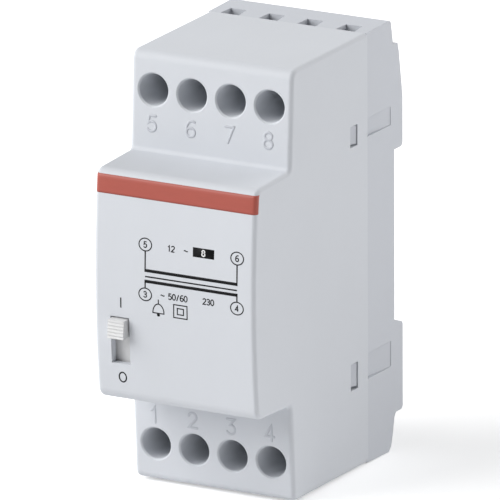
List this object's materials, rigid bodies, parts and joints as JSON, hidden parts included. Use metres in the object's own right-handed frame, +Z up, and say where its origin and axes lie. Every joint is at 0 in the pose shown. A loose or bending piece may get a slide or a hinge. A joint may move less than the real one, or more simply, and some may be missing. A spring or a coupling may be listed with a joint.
{
  "type": "doorbell transformer",
  "caption": "Modular bell transformer for a 35 mm rail: stepped pale grey housing with terminal wells above and below, an on-off slide switch and a red band across the nose.",
  "frame": {"origin": "middle of the rail seat, on the plane that bears on the rail's face", "axes": "+Z up, +Y into the wall behind the rail, +X to the right seen from the front"},
  "size_m": [0.036, 0.0632, 0.0894],
  "materials": {
    "housing_grey": "fine spark-eroded matte moulding",
    "switch_white": "satin moulding",
    "block_black": "matte moulding",
    "contact_brass": "stamped strip",
    "latch_grey": "satin moulding",
    "spring_steel": "drawn wire",
    "core_iron": "stacked varnished sheets",
    "bobbin_plastic": "natural moulding",
    "winding_copper": "enamelled wire",
    "tape_yellow": "film tape",
    "fuse_case": "ceramic case",
    "lead_sleeve": "soft insulation",
    "screw_steel": "zinc plated",
    "clamp_steel": "zinc plated",
    "bar_brass": "tinned strip"
  },
  "bodies": {
    "housing": {"front_cover": "housing_grey", "rear_base": "housing_grey", "switch_block": "block_black", "switch_contact_a": "contact_brass", "switch_contact_b": "contact_brass", "core_e": "core_iron", "core_i": "core_iron", "bobbin": "bobbin_plastic", "primary_winding": "winding_copper", "secondary_winding": "winding_copper", "winding_wrap": "tape_yellow", "thermal_fuse": "fuse_case", "latch_spring": "spring_steel", "primary_lead": "lead_sleeve", "supply_lead": "lead_sleeve", "switch_lead": "lead_sleeve", "fuse_lead": "lead_sleeve", "secondary_lead_a": "lead_sleeve", "secondary_lead_b": "lead_sleeve", "terminal_bar_1": "bar_brass", "terminal_bar_2": "bar_brass", "terminal_bar_3": "bar_brass", "terminal_bar_4": "bar_brass", "terminal_bar_5": "bar_brass", "terminal_bar_6": "bar_brass", "terminal_bar_7": "bar_brass", "terminal_bar_8": "bar_brass"},
    "switch": {"switch_knob": "switch_white", "switch_bridge": "contact_brass"},
    "latch": {"rail_latch": "latch_grey"},
    "screw_1": {"terminal_screw_1": "screw_steel"},
    "clamp_1": {"terminal_clamp_1": "clamp_steel"},
    "screw_2": {"terminal_screw_2": "screw_steel"},
    "clamp_2": {"terminal_clamp_2": "clamp_steel"},
    "screw_3": {"terminal_screw_3": "screw_steel"},
    "clamp_3": {"terminal_clamp_3": "clamp_steel"},
    "screw_4": {"terminal_screw_4": "screw_steel"},
    "clamp_4": {"terminal_clamp_4": "clamp_steel"},
    "screw_5": {"terminal_screw_5": "screw_steel"},
    "clamp_5": {"terminal_clamp_5": "clamp_steel"},
    "screw_6": {"terminal_screw_6": "screw_steel"},
    "clamp_6": {"terminal_clamp_6": "clamp_steel"},
    "screw_7": {"terminal_screw_7": "screw_steel"},
    "clamp_7": {"terminal_clamp_7": "clamp_steel"},
    "screw_8": {"terminal_screw_8": "screw_steel"},
    "clamp_8": {"terminal_clamp_8": "clamp_steel"}
  },
  "joints": [
    {"name": "switch_slide", "type": "slide", "parent": "housing", "child": "switch", "axis": [0, 0, -1], "range_m": [0, 0.00545]},
    {"name": "latch_slide", "type": "slide", "parent": "housing", "child": "latch", "axis": [0, 0, -1], "range_m": [0, 0.0032], "stiffness_N_per_m": 400, "springref_m": -0.004, "deforming": ["latch_spring"]},
    {"name": "screw_1_turn", "type": "hinge", "parent": "housing", "child": "screw_1", "pos_m": [-0.01305, -0.0205, -0.0364], "axis": [0, 1, 0], "range_deg": [0, 1852]},
    {"name": "clamp_1_lift", "type": "slide", "parent": "housing", "child": "clamp_1", "axis": [0, -1, 0], "range_m": [0, 0.0036]},
    {"name": "screw_2_turn", "type": "hinge", "parent": "housing", "child": "screw_2", "pos_m": [-0.00435, -0.0205, -0.0364], "axis": [0, 1, 0], "range_deg": [0, 1852]},
    {"name": "clamp_2_lift", "type": "slide", "parent": "housing", "child": "clamp_2", "axis": [0, -1, 0], "range_m": [0, 0.0036]},
    {"name": "screw_3_turn", "type": "hinge", "parent": "housing", "child": "screw_3", "pos_m": [0.00435, -0.0205, -0.0364], "axis": [0, 1, 0], "range_deg": [0, 1852]},
    {"name": "clamp_3_lift", "type": "slide", "parent": "housing", "child": "clamp_3", "axis": [0, -1, 0], "range_m": [0, 0.0036]},
    {"name": "screw_4_turn", "type": "hinge", "parent": "housing", "child": "screw_4", "pos_m": [0.01305, -0.0205, -0.0364], "axis": [0, 1, 0], "range_deg": [0, 1852]},
    {"name": "clamp_4_lift", "type": "slide", "parent": "housing", "child": "clamp_4", "axis": [0, -1, 0], "range_m": [0, 0.0036]},
    {"name": "screw_5_turn", "type": "hinge", "parent": "housing", "child": "screw_5", "pos_m": [-0.01305, -0.0205, 0.0364], "axis": [0, 1, 0], "range_deg": [0, 1852]},
    {"name": "clamp_5_lift", "type": "slide", "parent": "housing", "child": "clamp_5", "axis": [0, -1, 0], "range_m": [0, 0.0036]},
    {"name": "screw_6_turn", "type": "hinge", "parent": "housing", "child": "screw_6", "pos_m": [-0.00435, -0.0205, 0.0364], "axis": [0, 1, 0], "range_deg": [0, 1852]},
    {"name": "clamp_6_lift", "type": "slide", "parent": "housing", "child": "clamp_6", "axis": [0, -1, 0], "range_m": [0, 0.0036]},
    {"name": "screw_7_turn", "type": "hinge", "parent": "housing", "child": "screw_7", "pos_m": [0.00435, -0.0205, 0.0364], "axis": [0, 1, 0], "range_deg": [0, 1852]},
    {"name": "clamp_7_lift", "type": "slide", "parent": "housing", "child": "clamp_7", "axis": [0, -1, 0], "range_m": [0, 0.0036]},
    {"name": "screw_8_turn", "type": "hinge", "parent": "housing", "child": "screw_8", "pos_m": [0.01305, -0.0205, 0.0364], "axis": [0, 1, 0], "range_deg": [0, 1852]},
    {"name": "clamp_8_lift", "type": "slide", "parent": "housing", "child": "clamp_8", "axis": [0, -1, 0], "range_m": [0, 0.0036]}
  ],
  "couplings": [
    {"joint": "screw_1_turn", "follows": "clamp_1_lift", "rad_per_m": 8976},
    {"joint": "screw_2_turn", "follows": "clamp_2_lift", "rad_per_m": 8976},
    {"joint": "screw_3_turn", "follows": "clamp_3_lift", "rad_per_m": 8976},
    {"joint": "screw_4_turn", "follows": "clamp_4_lift", "rad_per_m": 8976},
    {"joint": "screw_5_turn", "follows": "clamp_5_lift", "rad_per_m": 8976},
    {"joint": "screw_6_turn", "follows": "clamp_6_lift", "rad_per_m": 8976},
    {"joint": "screw_7_turn", "follows": "clamp_7_lift", "rad_per_m": 8976},
    {"joint": "screw_8_turn", "follows": "clamp_8_lift", "rad_per_m": 8976}
  ]
}
